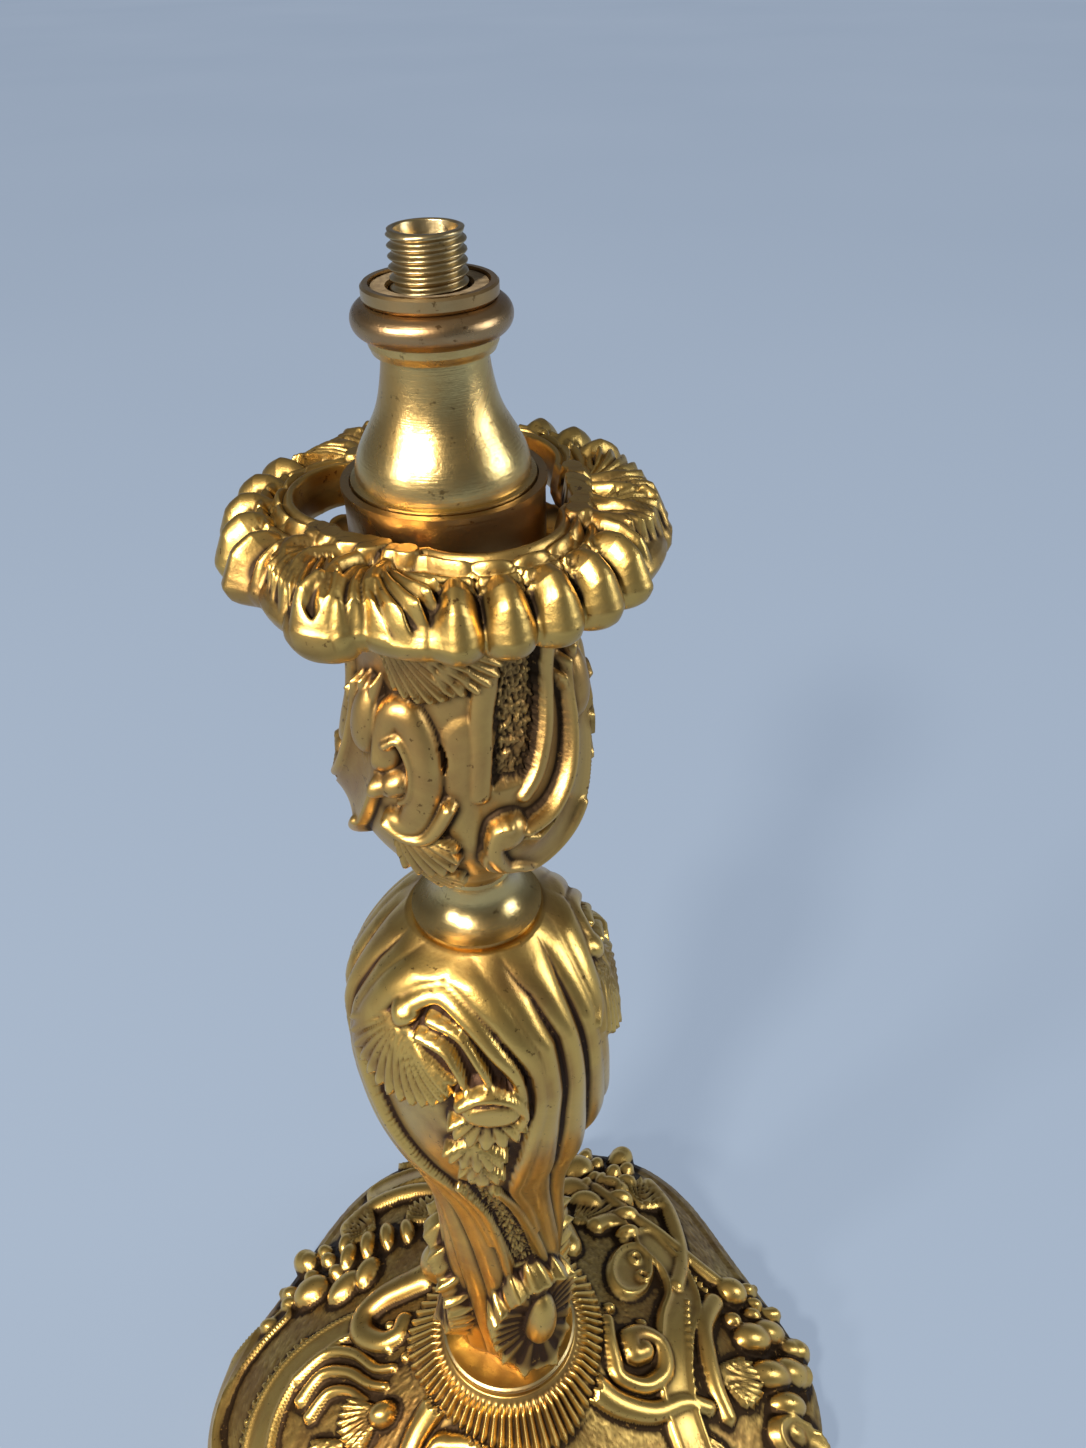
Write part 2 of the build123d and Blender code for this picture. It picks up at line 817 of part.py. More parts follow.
for piece in (
    base_casting,
    foot_dish,
    stem_casting,
    spool_collar,
    vase_casting,
    nozzle_drum,
    bobeche,
    bell_cover,
    knop_ring,
    top_collar,
    packing_washer,
    tie_tube,
    base_washer,
    clamp_nut,
):
    export_step(piece.part, f"parts/{piece.part.label}.step")
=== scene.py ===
"""A gilt brass candlestick of rococo pattern, turned into a lamp foot, seen from above its front."""

import math

import bmesh
import bpy
import numpy as np
from mathutils import Matrix, Vector


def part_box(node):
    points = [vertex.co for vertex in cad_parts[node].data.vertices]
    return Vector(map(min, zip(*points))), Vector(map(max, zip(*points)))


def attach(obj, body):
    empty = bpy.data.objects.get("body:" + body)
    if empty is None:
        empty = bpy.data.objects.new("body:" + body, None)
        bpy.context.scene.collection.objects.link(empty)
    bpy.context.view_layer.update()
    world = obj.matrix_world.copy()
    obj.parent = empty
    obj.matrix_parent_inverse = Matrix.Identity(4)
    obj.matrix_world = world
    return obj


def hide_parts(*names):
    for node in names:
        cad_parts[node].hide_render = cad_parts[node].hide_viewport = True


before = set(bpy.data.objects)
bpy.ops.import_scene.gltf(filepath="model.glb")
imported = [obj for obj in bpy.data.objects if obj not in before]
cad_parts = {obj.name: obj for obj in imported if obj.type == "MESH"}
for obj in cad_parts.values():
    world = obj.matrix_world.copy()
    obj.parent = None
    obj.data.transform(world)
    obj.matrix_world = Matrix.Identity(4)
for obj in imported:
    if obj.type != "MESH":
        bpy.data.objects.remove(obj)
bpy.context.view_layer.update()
chance = np.random.default_rng(7)


# Foot. One hollow brass casting, chased and gilt, whose scrolls, straps, balls and petals are cast in.
# It is spun from its section, pushed out into six lobes, and its ornament is raised along the normals.
def smooth(points, per=8):
    """A rounded course through a few points."""
    p = np.array([points[0], *points, points[-1]], float)
    t = np.linspace(0, 1, per, endpoint=False)[:, None]
    parts = []
    for a, b, c, d in zip(p, p[1:], p[2:], p[3:]):
        parts.append(0.5 * (2 * b + (c - a) * t + (2 * a - 5 * b + 4 * c - d) * t**2
                            + (3 * b - a - 3 * c + d) * t**3))
    return np.vstack([*parts, p[-1:]])


def evened(course, count):
    """The same course with its points at equal distances."""
    run = np.r_[0, np.cumsum(np.hypot(*np.diff(course, axis=0).T))]
    at = np.linspace(0, run[-1], count)
    return np.c_[np.interp(at, run, course[:, 0]), np.interp(at, run, course[:, 1])]


def lathe(name, outline, steps):
    """Spins (radius, height) points in mm round the Z axis. Gives the object, bearings, radii and heights."""
    bm = bmesh.new()
    ring = [bm.verts.new((0, -r * 0.001, z * 0.001)) for r, z in outline]
    edges = [bm.edges.new(pair) for pair in zip(ring, ring[1:] + ring[:1])]
    bmesh.ops.spin(bm, geom=ring + edges, axis=(0, 0, 1), angle=2 * math.pi, steps=steps,
        use_merge=True)
    bmesh.ops.recalc_face_normals(bm, faces=bm.faces)
    mesh = bpy.data.meshes.new(name)
    bm.to_mesh(mesh)
    bm.free()
    thing = bpy.data.objects.new(name, mesh)
    bpy.context.scene.collection.objects.link(thing)
    place = np.empty(len(mesh.vertices) * 3)
    mesh.vertices.foreach_get("co", place)
    place = place.reshape(steps, len(outline), 3) * 1000
    bearing = np.degrees(np.arctan2(place[..., 0], -place[..., 1]))
    return thing, bearing, np.hypot(place[..., 0], place[..., 1]), place[..., 2]


def settle(thing, bearing, radius, height, relief, node, reach, soil_and_shade=0.0):
    """Puts the points in place inside the node's box, and stores how deep each lies in its surroundings."""
    turn = np.radians(bearing)
    place = np.stack([radius * np.sin(turn), -radius * np.cos(turn), height], -1) * 0.001
    low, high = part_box(node)
    place = np.clip(place, np.array(low), np.array(high))
    thing.data.vertices.foreach_set("co", place.ravel())
    around = relief
    for axis in (0, 1):
        around = sum(np.roll(around, k, axis) for k in range(-reach, reach + 1)) / (2 * reach + 1)
    # How far each point lies below its blurred surroundings, plus the extra given, marks the hollows that the brass
    # darkens with painted shade and grime.
    depth = thing.data.attributes.new("recess", "FLOAT", "POINT")
    depth.data.foreach_set("value", (around - relief + soil_and_shade).ravel())
    thing.data.shade_smooth()
    thing.data.update()


def dome(q):
    return np.sqrt(np.clip(1 - q * q, 0, 1))


def strap(q):
    return np.clip((1 - q) * 6, 0, 1) * (0.62 + 0.38 * np.exp(-(((q - 0.78) / 0.16) ** 2)))


def trough(q):
    return np.clip((1 - q) * 5, 0, 1) * (0.35 + 0.65 * q**2)


def ridge(u, v, path, width, height, end=0.45, section=dome):
    """A cast ridge along a rounded path. Its width and height shrink to the share "end" at its far end."""
    course = smooth(path)
    raised = np.zeros_like(u)
    (ul, vl), (uh, vh) = course.min(0) - width, course.max(0) + width
    near = (u > ul) & (u < uh) & (v > vl) & (v < vh)
    a, b = u[near], v[near]
    best, along = np.full(a.shape, 1e9), np.zeros(a.shape)
    for i, (p, q) in enumerate(zip(course, course[1:])):
        d = q - p
        t = np.clip(((a - p[0]) * d[0] + (b - p[1]) * d[1]) / max(d @ d, 1e-9), 0, 1)
        away = np.hypot(a - p[0] - t * d[0], b - p[1] - t * d[1])
        closer = away < best
        best[closer], along[closer] = away[closer], (i + t[closer]) / (len(course) - 1)
    size = 1 - (1 - end) * along
    raised[near] = height * size * section(best / (width * size))
    return raised


def boss(u, v, centre, long, wide, turn, height, section=dome):
    """A cast boss: an oval whose long half-axis is turned that many degrees from the first axis."""
    a, b = u - centre[0], v - centre[1]
    c, s = math.cos(math.radians(turn)), math.sin(math.radians(turn))
    return height * section(np.hypot((a * c + b * s) / long, (b * c - a * s) / wide))


def fan(u, v, origin, heading, spread, reach, ribs, height, bend=0.0):
    """A shell or a leaf: ribs that spread from an origin, with a scalloped outer edge."""
    a, b = u - origin[0], v - origin[1]
    far = np.hypot(a, b)
    off = (np.degrees(np.arctan2(b, a)) - heading - bend * far + 180) % 360 - 180
    share = off / spread
    rib = np.abs(np.cos(share * ribs * math.pi / 2))
    edge = reach * (1 - 0.22 * share**2) * (0.9 + 0.1 * rib)
    inside = np.clip((edge - far) / (0.07 * reach), 0, 1) * np.clip((1 - np.abs(share)) * 8, 0, 1)
    return height * inside * (0.35 + 0.65 * np.clip(far / edge, 0, 1)) * (0.5 + 0.5 * rib)


def beads(u, v, path, size, height, gap=2.2):
    """A row of small beads along a path."""
    course = smooth(path)
    length = np.hypot(*np.diff(course, axis=0).T).sum()
    raised = np.zeros_like(u)
    for c in evened(course, max(2, int(length / (gap * size)))):
        raised = np.maximum(raised, boss(u, v, c, size, size, 0, height))
    return raised


def on_foot(*places):
    """Plan positions in mm from pairs of radius and bearing."""
    return [(r * math.sin(math.radians(b)), -r * math.cos(math.radians(b))) for r, b in places]


def right_field(x, y):
    """The ornament that shows right of the stem."""
    top = np.zeros_like(x)
    for piece in (
        boss(x, y, on_foot((44.5, 120))[0], 12.5, 7.5, 62, 2.2, strap),
        ridge(x, y, on_foot((57, 126), (59, 116), (56, 106), (48.5, 96), (45.5, 84), (47, 73), (52,
            65), (60, 58)),
              6.0, 2.6, 0.9, strap),
        ridge(x, y, on_foot((36, 84), (33.5, 82), (33, 88), (37, 91), (41.5, 88), (42.5, 79), (38,
            71), (31, 69),
                            (28.5, 76), (27, 86), (27.5, 96)), 3.4, 4.2, 0.55),
        ridge(x, y, on_foot((25, 56), (33, 58), (42, 64), (49, 72), (56, 74)), 3.9, 3.6, 0.6),
        ridge(x, y, on_foot((62, 150), (59, 138), (63, 127), (68, 117), (73, 110)), 2.9, 3.4, 0.9),
        boss(x, y, on_foot((75.5, 107))[0], 5.0, 5.0, 0, 5.5),
        ridge(x, y, on_foot((66, 104), (58, 97), (56, 89), (57.5, 80), (62, 74)), 3.1, 3.4, 0.7),
        fan(x, y, on_foot((55, 84))[0], -8, 34, 17, 9, 3.0),
        fan(x, y, on_foot((44, 150))[0], 25, 45, 22, 9, 3.2, 1.0),
        fan(x, y, on_foot((51, 66))[0], -45, 38, 17, 7, 3.2, -1.0),
        fan(x, y, on_foot((60, 58))[0], -55, 30, 22, 7, 2.6),
        ridge(x, y, on_foot((47, 142), (53, 139), (54, 132), (50, 131)), 3.1, 3.2, 0.6),
        boss(x, y, on_foot((62, 153))[0], 3.6, 2.2, 60, 4.5),
        boss(x, y, on_foot((67, 150))[0], 4.0, 2.2, 60, 4.5),
        boss(x, y, on_foot((67, 144))[0], 3.6, 2.4, 50, 4.0),
        boss(x, y, on_foot((82, 76))[0], 9.0, 6.4, -20, 5.5, trough),
        boss(x, y, on_foot((81, 77))[0], 4.0, 3.0, -20, 3.6),
    ):
        top = np.maximum(top, piece)
    for r, b, long, wide in ((73, 95, 6.2, 4.6), (80, 97, 6.0, 4.2), (75, 87, 6.4, 4.4), (82, 89,
        6.2, 4.4),
                             (79, 82, 5.4, 3.8), (86, 94, 5.0, 3.8)):
        petal = boss(x, y, on_foot((r, b))[0], long, wide, b - 78, 5.0)
        top = np.maximum(top, petal)
    for r, b in ((82, 104), (86, 102), (84, 108), (78, 101), (69, 99)):
        top = np.maximum(top, boss(x, y, on_foot((r, b))[0], 2.6, 2.6, 0, 3.6))
    top = np.maximum(top, beads(x, y, on_foot((56, 104), (51, 93), (50, 81), (53, 72)), 0.95, 2.6))
    top = np.maximum(top, beads(x, y, on_foot((55, 131), (60, 122), (65, 113), (67, 106)), 0.9, 1.8))
    top = np.maximum(top, beads(x, y, on_foot((30, 104), (34, 98), (38, 96)), 1.6, 2.0, 2.6))
    for c in on_foot((48, 123), (46, 115.5)):
        top += boss(x, y, c, 2.3, 2.3, 0, 1.5, lambda q: np.exp(-(((q - 0.72) / 0.2) ** 2)))
    return top


def left_field(x, y):
    """The ornament that shows left of the stem."""
    top = np.zeros_like(x)
    for piece in (
        ridge(x, y, on_foot((90, -78), (90, -92), (88, -102), (84, -109), (80, -114)), 4.7, 3.2, 0.8,
            trough),
        ridge(x, y, on_foot((80, -68), (76, -80), (71, -90), (64, -99), (56, -105), (49, -109)), 5.7,
            2.6, 0.8, strap),
        ridge(x, y, on_foot((33, -133), (42, -121), (46, -113), (44, -106), (37, -101), (32, -103),
            (32, -110)),
              4.4, 4.6, 0.55),
        ridge(x, y, on_foot((62, -96), (54, -101), (45, -99), (38, -91), (33, -88)), 2.0, 2.6, 0.6),
        ridge(x, y, on_foot((60, -90), (54, -95), (46, -93), (40, -86), (36, -82)), 2.0, 2.6, 0.6),
        ridge(x, y, on_foot((58, -85), (52, -89), (46, -87), (42, -81)), 1.8, 2.4, 0.6),
        fan(x, y, on_foot((37, -74))[0], 190, 42, 14, 9, 4.0),
        boss(x, y, on_foot((38, -72))[0], 4.0, 3.4, 0, 5.0),
        fan(x, y, on_foot((50, -74))[0], 210, 50, 12, 9, 3.2),
        boss(x, y, on_foot((86, -128))[0], 4.2, 4.2, 0, 5.5),
        boss(x, y, on_foot((73, -120))[0], 6.2, 5.4, 30, 5.5),
        boss(x, y, on_foot((60, -122))[0], 6.5, 4.4, 40, 4.4),
        boss(x, y, on_foot((55, -128))[0], 5.6, 3.6, 60, 4.4),
        fan(x, y, on_foot((66, -141))[0], 150, 60, 13, 9, 4.2),
        boss(x, y, on_foot((67, -131))[0], 5.0, 2.7, 70, 4.6),
        boss(x, y, on_foot((62.5, -136))[0], 5.0, 2.7, 80, 4.8),
        boss(x, y, on_foot((58, -141))[0], 5.0, 2.7, 90, 4.6),
        boss(x, y, on_foot((72, -134))[0], 4.0, 2.5, 60, 4.6),
        boss(x, y, on_foot((53, -146))[0], 4.4, 2.5, 95, 4.2),
        ridge(x, y, on_foot((78, -138), (75, -146), (69, -155), (63, -162), (56, -168)), 3.1, 3.6, 0.9),
    ):
        top = np.maximum(top, piece)
    for r, b in ((80, -117), (83, -112), (84, -120), (78, -124), (81, -131), (68, -126), (76, -129)):
        top = np.maximum(top, boss(x, y, on_foot((r, b))[0], 2.8, 2.8, 0, 3.8))
    top = np.maximum(top, beads(x, y, on_foot((82, -80), (78, -89), (74, -95), (69, -101), (64,
        -106)), 0.95, 2.2))
    top = np.maximum(top, beads(x, y, on_foot((29, -90), (34, -96), (36, -108)), 1.4, 1.8, 2.6))
    return top


foot_side = smooth([(87.5, 0), (90, 5), (86.5, 11), (75, 22), (60, 33), (44, 43), (30, 52), (20.5,
    60), (18, 64)])
foot_side = evened(foot_side, 158)
foot_inside = [(17.6, 64), (5.3, 64), (5.3, 59), (16, 57), (26, 49.5), (40, 40), (56, 30), (70, 19),
    (81, 9), (83.5, 0)]
foot, bearing, radius, height = lathe("foot", [*foot_side, *foot_inside], 580)
lobes = np.cos(np.radians(6 * (bearing - 25)))
share = (radius / 90) ** 2
x, y = radius * np.sin(np.radians(bearing)), -radius * np.cos(np.radians(bearing))
relief = np.zeros_like(radius)
for field, turns in ((right_field, (0, -113)), (left_field, (0, -82))):
    for turn in turns:
        c, s = math.cos(math.radians(turn)), math.sin(math.radians(turn))
        relief = np.maximum(relief, field(x * c + y * s, y * c - x * s))
flute = 0.5 + 0.5 * np.cos(np.radians(70 * bearing) + 0.5 * np.sin(np.radians(11 * bearing)))
ray_end = 26.5 + 1.8 * np.sin(np.radians(3 * bearing + 40)) + 0.8 * flute
rays = np.clip((ray_end - radius) / 1.2, 0, 1) * np.clip((radius - 18.6) / 1.5, 0, 1)
relief = np.where(rays > 0.02, np.maximum(relief * 0.25, rays * (0.5 + 1.5 * flute)), relief)
ground = chance.standard_normal(radius.shape)
ground = (ground + np.roll(ground, 1, 0) + np.roll(ground, 1, 1)) / 3
relief += 0.10 * ground * (relief < 0.3) * (radius > 28)
relief *= np.clip(height / 8, 0, 1) * np.clip((radius - 17.9) / 1.5, 0, 1)
relief[:, len(foot_side):] = 0
way = np.gradient(foot_side, axis=0)
way /= np.hypot(way[:, 0], way[:, 1])[:, None]
out, up = np.zeros(radius.shape[1]), np.zeros(radius.shape[1])
out[: len(foot_side)], up[: len(foot_side)] = way[:, 1], -way[:, 0]
radius = radius + 3.2 * share * lobes * (radius > 19) + relief * out - 1.2 * share * (out > 0) * (height > 12)
# The low ground among the foot's ornament gets extra painted shade and grime.
soil_and_shade = 0.3 * np.clip(1 - relief / 0.8, 0, 1) * (radius > 28)
settle(foot, bearing, radius, height + relief * up, relief, "base_casting", 4, soil_and_shade)


def knot(nodes, kind, **values):
    """A shader node with its constant values set."""
    made = nodes.new(kind)
    for key, value in values.items():
        if hasattr(made, key):
            setattr(made, key, value)
        else:
            made.inputs[key.replace("_", " ")].default_value = value
    return made


def ramp(nodes, *stops):
    """A colour ramp with these (position, colour) stops."""
    made = nodes.new("ShaderNodeValToRGB")
    steps = made.color_ramp.elements
    while len(steps) < len(stops):
        steps.new(0.5)
    for step, (place, colour) in zip(steps, stops):
        step.position = place
        step.color = (*colour, 1) if len(colour) == 3 else (colour[0],) * 3 + (1,)
    return made


def blend(nodes, links, amount, low, high):
    """Mixes two colours. Each is a socket or a plain colour."""
    made = nodes.new("ShaderNodeMix")
    made.data_type = "RGBA"
    links.new(amount, made.inputs["Factor"])
    for value, name in ((low, 6), (high, 7)):
        if isinstance(value, tuple):
            made.inputs[name].default_value = (*value, 1)
        else:
            links.new(value, made.inputs[name])
    return made.outputs[2]


def brass(name, bright, warm, dark, rough=0.27, spots=0.66, streaks=0.0, cast=True):
    """Old gilt brass. Warm patches and dark spots wander over it, and the recesses of a casting are darkened with
    grime and painted shade.
    Turned brass has fine lines round its axis instead."""
    made = bpy.data.materials.new(name)
    made.use_nodes = True
    nodes, links = made.node_tree.nodes, made.node_tree.links
    metal = nodes["Principled BSDF"]
    metal.inputs["Metallic"].default_value = 1.0
    where = nodes.new("ShaderNodeTexCoord").outputs["Object"]
    patches = knot(nodes, "ShaderNodeTexNoise", Scale=55.0, Detail=6.0, Roughness=0.62, Distortion=0.6)
    specks = knot(nodes, "ShaderNodeTexNoise", Scale=620.0, Detail=3.0, Roughness=0.7)
    grain = knot(nodes, "ShaderNodeTexNoise", Scale=1500.0, Detail=4.0, Roughness=0.65)
    for texture in (patches, specks, grain):
        links.new(where, texture.inputs["Vector"])
    patchy = ramp(nodes, (0.42, (0,)), (0.66, (1,)))
    links.new(patches.outputs["Fac"], patchy.inputs["Fac"])
    dotted = ramp(nodes, (spots, (0,)), (spots + 0.05, (1,)))
    links.new(specks.outputs["Fac"], dotted.inputs["Fac"])
    colour = blend(nodes, links, patchy.outputs["Color"], bright, warm)
    bump_from = grain.outputs["Fac"]
    if cast:
        # Painted shade and grime: the recess value darkens a casting's hollows towards the dark colour and makes them
        # rougher; its worn ridges turn lighter.
        depth = nodes.new("ShaderNodeAttribute")
        depth.attribute_name = "recess"
        deep = knot(nodes, "ShaderNodeMapRange", From_Min=0.02, From_Max=0.62)
        links.new(depth.outputs["Fac"], deep.inputs["Value"])
        worn = knot(nodes, "ShaderNodeMapRange", From_Min=-0.15, From_Max=-0.8)
        links.new(depth.outputs["Fac"], worn.inputs["Value"])
        colour = blend(nodes, links, worn.outputs["Result"], colour, tuple(min(1,
            c * 1.12) for c in bright))
        colour = blend(nodes, links, deep.outputs["Result"], colour, dark)
        haze_from = deep.outputs["Result"]
    else:
        haze_from = patchy.outputs["Color"]
    colour = blend(nodes, links, dotted.outputs["Color"], colour, tuple(c * 0.55 for c in warm))
    links.new(colour, metal.inputs["Base Color"])
    haze = knot(nodes, "ShaderNodeMapRange", To_Min=rough, To_Max=rough + (0.3 if cast else 0.12))
    links.new(haze_from, haze.inputs["Value"])
    links.new(haze.outputs["Result"], metal.inputs["Roughness"])
    bump = knot(nodes, "ShaderNodeBump", Strength=0.22, Distance=0.0002)
    links.new(bump_from, bump.inputs["Height"])
    if streaks:
        lines = knot(nodes, "ShaderNodeMapping")
        lines.inputs["Scale"].default_value = (25, 25, 2600)
        links.new(where, lines.inputs["Vector"])
        turning = knot(nodes, "ShaderNodeTexNoise", Scale=1.0, Detail=5.0, Roughness=0.7)
        links.new(lines.outputs["Vector"], turning.inputs["Vector"])
        rings = knot(nodes, "ShaderNodeBump", Strength=streaks, Distance=0.00025)
        links.new(turning.outputs["Fac"], rings.inputs["Height"])
        links.new(bump.outputs["Normal"], rings.inputs["Normal"])
        bump = rings
    links.new(bump.outputs["Normal"], metal.inputs["Normal"])
    return made


cast_gilt = brass("gilt casting", (0.66, 0.42, 0.115), (0.46, 0.25, 0.07), (0.045, 0.026, 0.013),
    0.32, 0.64)
foot.data.materials.append(cast_gilt)
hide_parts("base_casting")
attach(foot, "candlestick")

# Stem. One casting that swells to a bulb and twists as it rises, with three framed panels between bold ribs.
# Each face has an arch, a shell, a curled leaf and a matted strip, and a frilled cup with a bud at its foot.
stem_base = 65.6
stem_side = smooth([(11.2, 0), (12, 8), (13.3, 24), (14, 40), (14.1, 56), (14.2, 70), (15.4, 84),
    (18.6, 97),
                    (22, 108), (24.3, 119), (25.3, 130), (25.4, 140), (23.8, 149), (20.2, 156),
                        (16.4, 161),
                    (12.6, 164.9)])
stem_side = evened(stem_side, 296)
stem_inside = [(12.2, 164.9), (5.3, 164.9), (5.3, 158), (9, 150), (9, 80), (5.3, 70), (5.3, 0)]
stem, bearing, radius, height = lathe("stem", [*stem_side, *stem_inside], 328)
t = np.clip((height - 35) / 95, 0, 1)
face = 27 - 53 * t * t * (3 - 2 * t)
side = (bearing - face + 60) % 120 - 60
u, h = side * np.radians(np.maximum(radius, 10)), height


def on_stem(*places):
    """Flat positions in mm on the unrolled stem from pairs of angle from the face's middle and height."""
    return [(math.radians(a) * float(np.interp(z, stem_side[:, 1], stem_side[:, 0])), z) for a,
        z in places]


low_side = np.interp(h, (0, 20, 68, 100, 110, 125, 138, 150, 158, 164), (-22, -22, -18, -16, -24,
    -32, -38, -38, -30, -8))
high_side = np.interp(h, (0, 20, 68, 100, 110, 125, 138, 150, 158, 164), (24, 24, 20, 20, 30, 40, 45,
    44, 32, 4))
inside = np.clip(np.minimum(side - low_side, high_side - side) / 3, 0, 1)
between = np.where(side > high_side, side - high_side, side + 120 - high_side)
between = np.clip(between / (120 + low_side - high_side), 0, 1)
rib = np.abs(np.sin(3 * math.pi * between)) ** 0.6
relief = (1 - inside) * (rib - 0.42) * np.interp(h, (0, 60, 110, 150, 165), (1.2, 1.6, 2.5, 2.9, 0.8))
relief -= inside * 0.9 * np.clip((h - 92) / 12, 0, 1)
bars = np.zeros_like(u)
for piece in (
    ridge(u, h, on_stem((-2, 164), (-16, 161.5), (-31, 156), (-39, 147), (-39, 137), (-32, 122),
        (-24, 108), (-19, 96),
                        (-20, 70)), 3.0, 2.4, 0.45),
    ridge(u, h, on_stem((0, 164), (16, 161.5), (34, 156), (45, 147), (46, 136), (40, 122), (30, 108),
        (22, 96),
                        (21, 70)), 2.4, 1.9, 0.5),
    ridge(u, h, on_stem((-17, 155), (-12, 158), (0, 160), (13, 158), (26, 153), (36, 146), (38, 138),
        (34, 134)),
          2.1, 2.8, 0.5),
    boss(u, h, on_stem((-16, 156))[0], 3.0, 2.6, 30, 3.2),
    fan(u, h, on_stem((-15, 155))[0], -112, 62, 19, 15, 2.6, 0.8),
    ridge(u, h, on_stem((-6, 153), (8, 151), (16, 144), (18, 138)), 1.1, 2.2, 0.7),
    ridge(u, h, on_stem((-2, 156), (14, 154), (24, 147), (27, 141)), 1.1, 2.2, 0.7),
    boss(u, h, on_stem((25, 139))[0], 5.6, 3.4, -12, 4.6),
    ridge(u, h, on_stem((14, 142), (22, 144), (33, 142), (38, 137), (34, 132)), 1.5, 4.2, 0.6),
    fan(u, h, on_stem((24, 139))[0], -95, 62, 11, 7, 3.4),
    fan(u, h, on_stem((17, 128))[0], -95, 60, 9.5, 7, 3.0),
    fan(u, h, on_stem((15, 120))[0], -92, 48, 8.5, 5, 2.8),
    boss(u, h, on_stem((13, 112))[0], 2.6, 1.5, 80, 2.6),
    ridge(u, h, on_stem((-10, 100), (-12, 84), (-15, 70), (-18, 52)), 1.5, 1.3, 0.8),
    ridge(u, h, on_stem((11, 100), (14, 84), (17, 70), (20, 52)), 1.5, 1.3, 0.8),
):
    bars = np.maximum(bars, piece)
hold = np.clip(bars / 0.5, 0, 1)
relief = relief * (1 - hold) + np.maximum(relief, bars) * hold
matted = (np.abs(side - 1) < 10) & (h > 58) & (h < 103)
ground = chance.standard_normal(radius.shape)
relief += np.where(matted, -0.7 + 0.22 * (ground + np.roll(ground, 1, 0)), 0)
cup_u, cup_h = u / 11.5, (h - 32) / 24.5
around = np.degrees(np.arctan2(cup_h * 1.6, cup_u))
frill = np.cos(np.radians(17 * around)) + 0.5 * np.cos(np.radians(31 * around + 60))
q = np.hypot(cup_u, cup_h) * (1 - 0.045 * frill)
cup = np.where(q < 0.82, 1.2 + 3.8 * (q / 0.82) ** 2.2 + 0.55 * frill * (q / 0.82),
    5.0 * np.clip((1 - q) / 0.18, 0, 1) ** 0.6)
bud = boss(u, h, (0.0, 35), 11, 3.4, 84, 6.8)
cup = np.maximum(cup, bud) + 0.25 * frill * np.exp(-(((q - 0.8) / 0.12) ** 2))
relief = np.where(q < 1, np.maximum(cup, relief), relief)
relief *= np.clip(h / 2.5, 0, 1) * np.clip((164.9 - h) / 3, 0, 1)
relief[:, len(stem_side):] = 0
lobe = np.interp(height, (0, 8, 24, 40, 56, 165), (2.3, 2.2, 1.4, 0.4, -0.4,
    -0.4)) * np.cos(np.radians(3 * side))
lobe[:, len(stem_side):] = 0
# The inside of the frilled cup and the matted strip get extra painted shade and grime.
soil_and_shade = 0.55 * (q < 0.86) * (bud < 0.5) + 0.3 * matted
settle(stem, bearing, radius + lobe + relief, height + stem_base, relief, "stem_casting", 5, soil_and_shade)
stem.data.materials.append(brass("gilt stem", (0.68, 0.435, 0.12), (0.49, 0.275, 0.08), (0.055, 0.03,
    0.018), 0.28, 0.64))
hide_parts("stem_casting")
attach(stem, "candlestick")

# Vase. The casting over the thin neck, with three matted panels, shell sprays, leaves and deep scrolls.
# Its mouth holds the turned drum, and the drip pan lies on its edge.
vase_base = 241.0
vase_side = smooth([(6.6, 0), (7.6, 2.2), (11.6, 6.4), (16.2, 12.9), (18.8, 19.5), (18.9, 28.7),
    (17.9, 36.8),
                    (16.8, 43), (16.4, 49), (17.2, 56), (18.9, 60.5), (19.2, 63)])
vase_side = evened(vase_side, 226)
vase_inside = [(18.8, 63), (13.1, 63), (13.1, 50), (12.6, 46), (5.3, 46), (5.3, 0)]
vase, bearing, radius, height = lathe("vase", [*vase_side, *vase_inside], 424)
side = (bearing - 18 + 60) % 120 - 42
vase_mean = 17.5
u, h = side * np.radians(vase_mean), height


def on_vase(*places):
    """Flat positions in mm on the unrolled vase from pairs of bearing and height."""
    return [(math.radians(a) * vase_mean, z) for a, z in places]


